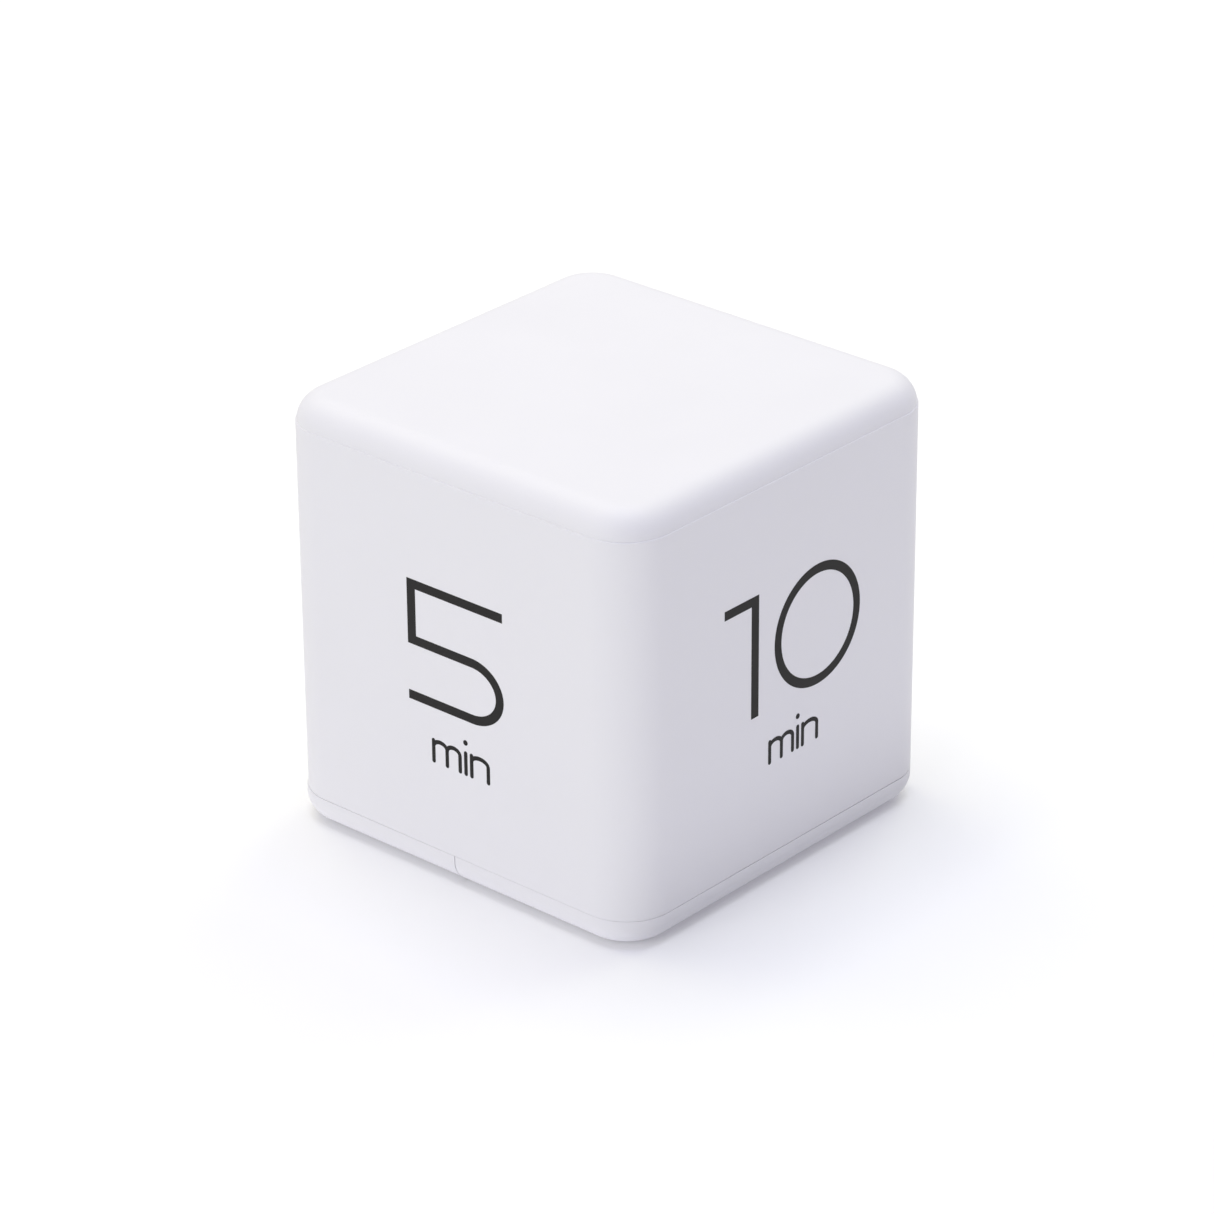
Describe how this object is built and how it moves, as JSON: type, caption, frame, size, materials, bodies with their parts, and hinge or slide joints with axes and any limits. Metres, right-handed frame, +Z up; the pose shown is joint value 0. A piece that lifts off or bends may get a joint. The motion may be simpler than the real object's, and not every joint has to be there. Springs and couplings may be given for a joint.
{
  "type": "kitchen timer",
  "caption": "Cube-shaped battery kitchen timer with rounded edges, a time printed on each of its four sides, a blank top and a sliding battery door underneath.",
  "frame": {"origin": "centre of the underside, on the surface it stands on", "axes": "+Z up to the blank top cover, -Y the front side (5 minutes), +X the right side (10 minutes), +Y the back side (15 minutes), -X the left side (30 minutes), to which the battery door slides"},
  "size_m": [0.0636, 0.0636, 0.0635],
  "materials": {
    "abs_white": "moulded satin ABS",
    "cell_can": "printed steel can",
    "nickel_strip": "nickel-plated steel",
    "board": "solder-masked glass epoxy",
    "steel_screw": "zinc-plated steel",
    "epoxy": "black epoxy",
    "crystal_metal": "drawn nickel-plated can",
    "cap_sleeve": "shrink sleeve",
    "ferrite": "lacquered ferrite and winding",
    "cap_dip": "dipped ceramic",
    "brass": "plain brass",
    "piezo_white": "silvered piezo ceramic",
    "phenolic": "phenolic board",
    "black_plastic": "moulded nylon",
    "wire_red": "PVC insulation",
    "wire_black": "PVC insulation"
  },
  "bodies": {
    "housing": {"top_cover": "abs_white", "body_shell": "abs_white", "base_housing": "abs_white", "base_screw_1": "steel_screw", "aaa_cell_1": "cell_can", "switch_screw_1": "steel_screw", "base_screw_2": "steel_screw", "aaa_cell_2": "cell_can", "switch_screw_2": "steel_screw", "contact_plate_neg": "nickel_strip", "contact_plate_pos": "nickel_strip", "bridge_plate": "nickel_strip", "contact_spring_neg": "nickel_strip", "bridge_spring": "nickel_strip", "main_pcb": "board", "controller_blob": "epoxy", "crystal_can": "crystal_metal", "electrolytic_cap": "cap_sleeve", "driver_transistor": "epoxy", "boost_inductor": "ferrite", "resistor_1": "epoxy", "resistor_2": "epoxy", "ceramic_cap": "cap_dip", "pcb_screw_1": "steel_screw", "pcb_screw_2": "steel_screw", "pcb_screw_3": "steel_screw", "pcb_screw_4": "steel_screw", "tilt_can_front": "brass", "tilt_header_front": "black_plastic", "tilt_can_right": "brass", "tilt_header_right": "black_plastic", "tilt_can_back": "brass", "tilt_header_back": "black_plastic", "tilt_can_left": "brass", "tilt_header_left": "black_plastic", "piezo_disc": "brass", "piezo_ceramic": "piezo_white", "switch_frame": "crystal_metal", "switch_base": "phenolic", "wire_pos_to_switch": "wire_red", "wire_switch_to_pcb": "wire_red", "wire_buzzer_a": "wire_red", "wire_neg_to_pcb": "wire_black", "wire_buzzer_b": "wire_black"},
    "battery_door": {"battery_door": "abs_white"},
    "switch_slider": {"switch_slider": "black_plastic"},
    "tilt_ball_front": {"tilt_ball_front": "brass"},
    "tilt_ball_right": {"tilt_ball_right": "brass"},
    "tilt_ball_back": {"tilt_ball_back": "brass"},
    "tilt_ball_left": {"tilt_ball_left": "brass"}
  },
  "joints": [
    {"name": "battery_door_slide", "type": "slide", "parent": "housing", "child": "battery_door", "axis": [-1, 0, 0], "range_m": [0, 0.033]},
    {"name": "on_off_slide", "type": "slide", "parent": "housing", "child": "switch_slider", "axis": [1, 0, 0], "range_m": [0, 0.002]},
    {"name": "tilt_ball_front_roll", "type": "slide", "parent": "housing", "child": "tilt_ball_front", "axis": [0, 0.9659, 0.2588], "range_m": [0, 0.0035]},
    {"name": "tilt_ball_right_roll", "type": "slide", "parent": "housing", "child": "tilt_ball_right", "axis": [-0.9659, 0, 0.2588], "range_m": [0, 0.0035]},
    {"name": "tilt_ball_back_roll", "type": "slide", "parent": "housing", "child": "tilt_ball_back", "axis": [0, -0.9659, 0.2588], "range_m": [0, 0.0035]},
    {"name": "tilt_ball_left_roll", "type": "slide", "parent": "housing", "child": "tilt_ball_left", "axis": [0.9659, 0, 0.2588], "range_m": [0, 0.0035]}
  ]
}
